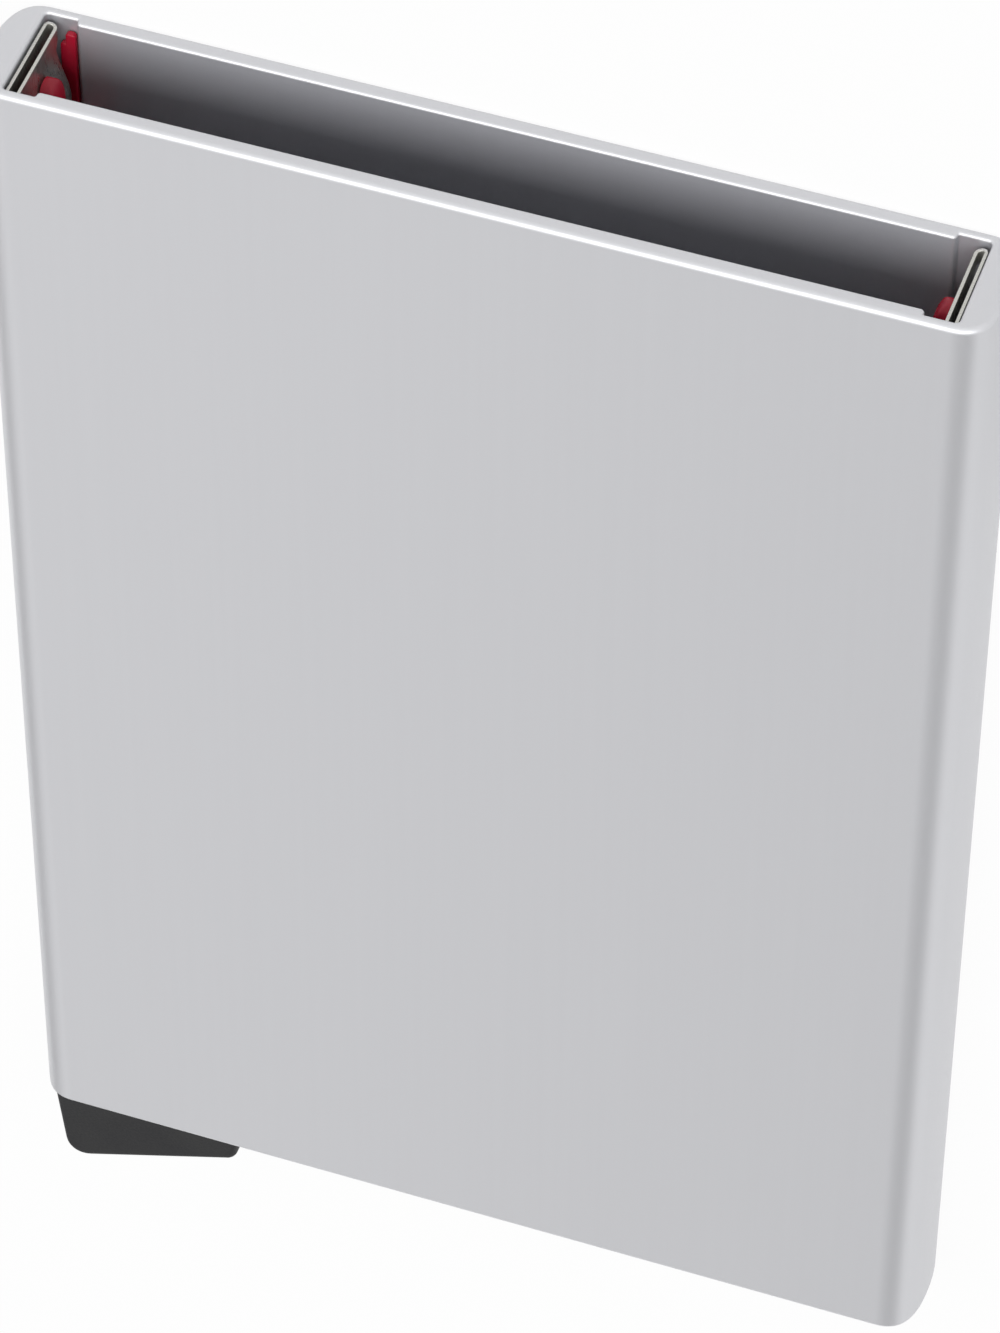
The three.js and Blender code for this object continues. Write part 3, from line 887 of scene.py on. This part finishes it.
lever_low, lever_high = box_mm("ejector_lever")
pin_low, pin_high = box_mm("pivot_pin")
pivot = (pin_low + pin_high) / 2
trigger_rim = case_low.y - TRIGGER_RIM_GAP
nose_x = case_low.x + TRIGGER_NOSE_INSET
arm_high = lever_high.y
arm_low = arm_high - ARM_DEPTH
hinge = next(j for j in frame["joints"] if j["name"] == "lever_pivot")
print("the lever turns about", [round(x, 2) for x in pivot], "by", hinge["range_deg"], "degrees")

# %% [markdown]
# The trigger is a plate with a round toe, a blunt nose and soft edges, which runs on past the hinge to the
# root of the arm. One outline holds all of it, so that its curves flow into each other.

# %% Trigger plate
TRIGGER_FLANK_INSET = 0.6
TRIGGER_TOE_INSET = 1.4
TRIGGER_TOE_DROP = 8.1
TRIGGER_TOE_RADIUS = 1.45
TRIGGER_NOSE_DROP = 3.3
TRIGGER_NOSE_RADIUS = 0.85
TRIGGER_EDGE_ROUND = 0.5
TRIGGER_EDGE_STEPS = 6
HUB_RADIUS = 3.8
SHOULDER_TURN = math.radians(40)
ARM_ROOT = 6
ARM_ROOT_FILLET = 0.8


def trigger_plate():
    end, left = case_low.y, case_low.x
    root_x = nose_x + ARM_ROOT
    bm = prism([
        (left + TRIGGER_FLANK_INSET, trigger_rim, 0),
        (left + TRIGGER_TOE_INSET, end - TRIGGER_TOE_DROP, TRIGGER_TOE_RADIUS),
        (nose_x, end - TRIGGER_NOSE_DROP, TRIGGER_NOSE_RADIUS),
        (nose_x + ARM_ROOT_FILLET, arm_low, ARM_ROOT_FILLET),
        (root_x, arm_low, 0),
        (root_x, arm_high, 0),
        (pivot.x + HUB_RADIUS * math.tan(SHOULDER_TURN), arm_high, 0),
        (pivot.x, pivot.y, 0),
        (pivot.x, trigger_rim, 0),
    ], lying(lever_low.z), (0, 0, lever_high.z - lever_low.z))
    outlines = edges_at(bm, 2, lever_low.z) + edges_at(bm, 2, lever_high.z)
    soften(bm, outlines, TRIGGER_EDGE_ROUND, segments=TRIGGER_EDGE_STEPS)
    return bm


print("trigger:", round(lever_high.z - lever_low.z, 2), "mm thick,",
      round(case_low.y - lever_low.y, 2), "mm below the case")

# %% [markdown]
# The steps could be cut out of the arm. Adding them is simpler: each is a flat bar that starts at the back,
# and each bar is thicker and shorter than the last.

# %% Steps of the arm
ARM_SIDE_CLEARANCE = 0.3
ARM_STEP_COUNT = 6
ARM_STEP_LENGTH = 5
ARM_TIP_RADIUS = 2.2
ARM_HEEL_RADIUS = 1.2

arm_back = mid - slot_half + ARM_SIDE_CLEARANCE
step_height = 2 * (mid - arm_back) / ARM_STEP_COUNT


def lever_steps(bm):
    for i in range(ARM_STEP_COUNT):
        tip_x = lever_high.x - i * ARM_STEP_LENGTH
        layer = prism([
            (nose_x, arm_low, 0),
            (tip_x, arm_low, ARM_HEEL_RADIUS),
            (tip_x, arm_high, ARM_TIP_RADIUS),
            (nose_x, arm_high, 0),
        ], lying(arm_back), (0, 0, (i + 1) * step_height))
        bm = merge_flats(combine(bm, layer, "UNION"))
    return bm


print(ARM_STEP_COUNT, "steps of", round(step_height, 2), "mm, each", ARM_STEP_LENGTH, "mm shorter")

# %% [markdown]
# The plate is relieved on both sides of the hinge, where the clevis lies. Then the hub and its neck are
# added, then the steps, and the bore comes last, so that it goes through all of them.

# %% Ejector lever
HUB_THICKNESS = 3.2
HUB_SWING_CLEARANCE = 0.4
PIN_RADIUS = 1
PIN_RUNNING_CLEARANCE = 0.07


def block(x0, y0, z0, x1, y1, z1):
    return prism([(x0, y0, 0), (x1, y0, 0), (x1, y1, 0), (x0, y1, 0)], lying(z0), (0, 0, z1 - z0))


def ejector_lever():
    x, y = pivot.x, pivot.y
    hub_back, hub_front = mid - HUB_THICKNESS / 2, mid + HUB_THICKNESS / 2
    relief = HUB_RADIUS + HUB_SWING_CLEARANCE
    bm = trigger_plate()
    bm = combine(bm, round_bar(x, y, relief, 0, hub_back), "DIFFERENCE")
    bm = combine(bm, round_bar(x, y, relief, hub_front, case_high.z), "DIFFERENCE")
    bm = combine(bm, round_bar(x, y, HUB_RADIUS, hub_back, hub_front), "UNION")
    neck = block(x - HUB_RADIUS, trigger_rim - HUB_RADIUS / 2, hub_back, x + HUB_RADIUS, y, hub_front)
    bm = merge_flats(combine(bm, neck, "UNION"))
    bm = lever_steps(bm)
    bore = round_bar(x, y, PIN_RADIUS + PIN_RUNNING_CLEARANCE, 0, case_high.z)
    bm = merge_flats(combine(bm, bore, "DIFFERENCE"))
    return finish_piece("lever_moulding", bm, charcoal, "ejector_lever")


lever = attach(ejector_lever(), "lever")
moulded_edges(lever)

# %% [markdown]
# ## The plugs in the lower end
# Two black mouldings close the tube: the clevis on the left, which carries the lever's pin between two
# round cheeks, and the cover on the right, a thin floor with a block that keys into the pocket. Both start
# from the same section, which fits the hollow of the tube with a small clearance.

# %% Section of the plugs
INSERT_CLEARANCE = 0.1

slot_fit = slot_half - INSERT_CLEARANCE
pocket_fit = pocket_half - INSERT_CLEARANCE


def pocket_insert(side, x, y0, y1):
    """A plug for one end of the hollow, from x to the pocket's wall and from y0 to y1."""
    key_x = side * (slot_x + INSERT_CLEARANCE)
    plug_x = side * (pocket_x - INSERT_CLEARANCE)
    back_half = [(x, -slot_fit, 0), (key_x, -slot_fit, 0), (key_x, -pocket_fit, 0),
                 (plug_x, -pocket_fit, POCKET_CORNER_RADIUS)]
    front_half = [(a, -b, r) for a, b, r in reversed(back_half)]
    corners = [(a, mid + b, r) for a, b, r in back_half + front_half]
    return prism(corners, across(y0), (0, y1 - y0, 0))


print("the plugs are", round(2 * slot_fit, 2), "mm thick in the slot and", round(2 * pocket_fit, 2),
      "mm in the pockets")

# %% [markdown]
# The clevis gets its cheeks, then room for the hub between them, which leaves one wall, and last the seat
# of the pin. The cover is two such plugs, a long thin one and a short thick one.

# %% Clevis and cover
HUB_SIDE_CLEARANCE = 0.15
CLEVIS_WALL = 1.45
CUT_PAST = 1
PIN_SEAT_CLEARANCE = 0.03
FLOOR_THICKNESS = 1.2
CARD_LEDGE = 0.8


def pivot_block():
    low, high = box_mm("pivot_block")
    gap = HUB_THICKNESS / 2 + HUB_SIDE_CLEARANCE
    bm = pocket_insert(-1, pivot.x, low.y, high.y)
    cheeks = round_bar(pivot.x, pivot.y, HUB_RADIUS, mid - slot_fit, mid + slot_fit)
    bm = combine(bm, cheeks, "UNION")
    room = block(low.x + CLEVIS_WALL, low.y - CUT_PAST, mid - gap, high.x + CUT_PAST, high.y + CUT_PAST,
                 mid + gap)
    bm = combine(bm, room, "DIFFERENCE")
    seat = round_bar(pivot.x, pivot.y, PIN_RADIUS + PIN_SEAT_CLEARANCE, 0, case_high.z)
    bm = combine(bm, seat, "DIFFERENCE")
    return finish_piece("clevis_moulding", bm, black, "pivot_block")


def bottom_cover():
    low, high = box_mm("bottom_cover")
    bm = pocket_insert(1, low.x, low.y, low.y + FLOOR_THICKNESS)
    bm = merge_flats(combine(bm, pocket_insert(1, slot_x - CARD_LEDGE, low.y, high.y), "UNION"))
    return finish_piece("cover_moulding", bm, black, "bottom_cover")


for moulding in (pivot_block(), bottom_cover()):
    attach(moulding, "case")
    moulded_edges(moulding)

# %% [markdown]
# ## The hinge pin
# The pin is a short ground rod with chamfered ends. A rod is a cone with two equal radii, and its end edges
# are cut back by one flat bevel. Grinding goes round the rod, so the lines of its finish lie across it.

# %% Hinge pin
PIN_CHAMFER = 0.15
GRINDING_LINE_WIDTH = 0.08 * MM
GRINDING_LINE_STRETCH = 20


def ground_steel():
    material, tree, shader = new_finish("ground_steel")
    rings = noise(tree, GRINDING_LINE_WIDTH, stretch=(GRINDING_LINE_STRETCH, GRINDING_LINE_STRETCH, 1))
    colour = tint(tree, rings, dark=(0.47, 0.47, 0.48), light=(0.55, 0.55, 0.56))
    shader.inputs["Metallic"].default_value = 1
    tree.links.new(colour, shader.inputs["Base Color"])
    tree.links.new(spread(tree, rings, low=0.24, high=0.34), shader.inputs["Roughness"])
    return material


def pivot_pin():
    bm = round_bar(pivot.x, pivot.y, PIN_RADIUS, pin_low.z, pin_high.z)
    soften(bm, edges_at(bm, 2, pin_low.z) + edges_at(bm, 2, pin_high.z), PIN_CHAMFER, segments=1)
    return finish_piece("ground_pin", bm, ground_steel(), "pivot_pin")


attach(pivot_pin(), "case")

# %% [markdown]
# ## The table
# The case lies on a white table that fills the picture. A plain white table would look grey under these
# lights. This one looks white to the camera and in the metal's reflections, and the part of its shader that
# is lit keeps the soft shadow under the case.

# %% White finish
TABLE_TONE = 0.8
TABLE_ROUGHNESS = 0.9
TABLE_OWN_LIGHT = 0.95


def seen_directly(tree):
    """1 for what the camera sees, straight or through a reflection, and 0 for light that is scattered."""
    path = tree.nodes.new("ShaderNodeLightPath")
    seen = path.outputs["Is Camera Ray"]
    for kind in ("Is Glossy Ray", "Is Transmission Ray"):
        either = tree.nodes.new("ShaderNodeMath")
        either.operation = "MAXIMUM"
        tree.links.new(seen, either.inputs[0])
        tree.links.new(path.outputs[kind], either.inputs[1])
        seen = either.outputs["Value"]
    return seen


def white_finish():
    material, tree, shader = new_finish("white_table")
    shader.inputs["Base Color"].default_value = (TABLE_TONE, TABLE_TONE, TABLE_TONE, 1)
    shader.inputs["Roughness"].default_value = TABLE_ROUGHNESS
    glow = tree.nodes.new("ShaderNodeEmission")
    share = tree.nodes.new("ShaderNodeMath")
    share.operation = "MULTIPLY"
    share.inputs[1].default_value = TABLE_OWN_LIGHT
    mix = tree.nodes.new("ShaderNodeMixShader")
    tree.links.new(seen_directly(tree), share.inputs[0])
    tree.links.new(share.outputs["Value"], mix.inputs["Fac"])
    tree.links.new(shader.outputs["BSDF"], mix.inputs[1])
    tree.links.new(glow.outputs["Emission"], mix.inputs[2])
    tree.links.new(mix.outputs["Shader"], tree.nodes["Material Output"].inputs["Surface"])
    return material


white = white_finish()
print("finish:", white.name)

# %% [markdown]
# The table itself is one large square, a hair below the case, so that the two flat faces don't flicker.

# %% Table
TABLE_SIZE = 6
TABLE_GAP = 0.02 * MM


def white_table():
    bm = bmesh.new()
    bmesh.ops.create_grid(bm, x_segments=1, y_segments=1, size=TABLE_SIZE / 2,
                          matrix=Matrix.Translation((0, 0, -TABLE_GAP)))
    mesh = bpy.data.meshes.new("table")
    bm.to_mesh(mesh)
    bm.free()
    mesh.materials.append(white)
    table = bpy.data.objects.new("table", mesh)
    scene.collection.objects.link(table)
    print("table:", TABLE_SIZE, "m wide")


white_table()

# %% [markdown]
# ## The light
# Satin metal shows its surroundings, blurred. A white tent round the object gives the even grey of the
# front face. The world is that tent: white where it is seen, and dimmer where it only scatters light. Round
# edges need something dark to reflect, or they vanish in all that white, so two soft dark patches hang in
# the tent beyond the case's foot, which only reflections show: a high one that the right edge picks up, and
# a low one for the left edge. A patch has a direction, and the angles from it, in degrees, at which it
# begins and is fully dark.

# %% World
AMBIENT = 0.25
PATCH_LEVEL = 0.0
PATCHES = (((0.25, -0.66, 0.7), 36.5, 12), ((-0.66, -0.75, 0.1), 30, 10))

world = bpy.data.worlds.new("tent")
scene.world = world
world.use_nodes = True
tree = world.node_tree
sky = tree.nodes["Background"]
sky.inputs["Color"].default_value = (1, 1, 1, 1)


def along(tree, axis):
    """How far the direction of a ray goes along an axis."""
    direction = tree.nodes.new("ShaderNodeTexCoord").outputs["Generated"]
    dot = tree.nodes.new("ShaderNodeVectorMath")
    dot.operation = "DOT_PRODUCT"
    dot.inputs[1].default_value = axis
    tree.links.new(direction, dot.inputs[0])
    return dot.outputs["Value"]


reflected = None
for direction, outer, inner in PATCHES:
    edge, core = math.cos(math.radians(outer)), math.cos(math.radians(inner))
    patch = mapped(tree, along(tree, Vector(direction).normalized()), (edge, core), (1, PATCH_LEVEL))
    if reflected:
        tree.links.new(reflected.outputs["Result"], patch.inputs["To Min"])
    reflected = patch
path = tree.nodes.new("ShaderNodeLightPath")
strength = mapped(tree, path.outputs["Is Glossy Ray"], (0, 1), (AMBIENT, 1))
tree.links.new(reflected.outputs["Result"], strength.inputs["To Max"])
for kind in ("Is Camera Ray", "Is Transmission Ray"):
    seen = mapped(tree, path.outputs[kind], (0, 1), (AMBIENT, 1))
    tree.links.new(strength.outputs["Result"], seen.inputs["To Min"])
    strength = seen
tree.links.new(strength.outputs["Result"], sky.inputs["Strength"])
print("tent: white, with", len(PATCHES), "patches of level", PATCH_LEVEL)

# %% [markdown]
# One long softbox hangs above the case, towards its card mouth and in line with the lips. A small lamp
# would throw the shadow of the front lip on the inner wall as a hard line. This one is tall enough that the
# shadow starts at the mouth and deepens slowly, and long enough that its light reaches round both ends of
# the slot.

# %% Lamp
KEY_DIRECTION = (0, 0.342, 0.94)
KEY_DISTANCE = 4.0
KEY_SIZE = (7.0, 2.2)
KEY_RADIANCE = 3.62


def softbox(name, towards, distance, size, radiance):
    """A lamp of the size (width, height), at a distance in one direction, turned to the case."""
    data = bpy.data.lights.new(name, "AREA")
    data.shape = "RECTANGLE"
    data.size, data.size_y = size
    data.energy = radiance * math.pi * size[0] * size[1]
    lamp = bpy.data.objects.new(name, data)
    direction = Vector(towards).normalized()
    lamp.location = direction * distance
    lamp.rotation_mode = "QUATERNION"
    lamp.rotation_quaternion = direction.to_track_quat("Z", "Y")
    lamp.visible_camera = False
    scene.collection.objects.link(lamp)
    return lamp


key = softbox("key", KEY_DIRECTION, KEY_DISTANCE, KEY_SIZE, KEY_RADIANCE)
print("lamp:", key.name, [round(x, 2) for x in key.location], "m")

# %% [markdown]
# ## Last lines
# The view transform is set to Standard, so that a colour shows as it is written.

# %% View transform
scene.view_settings.view_transform = "Standard"
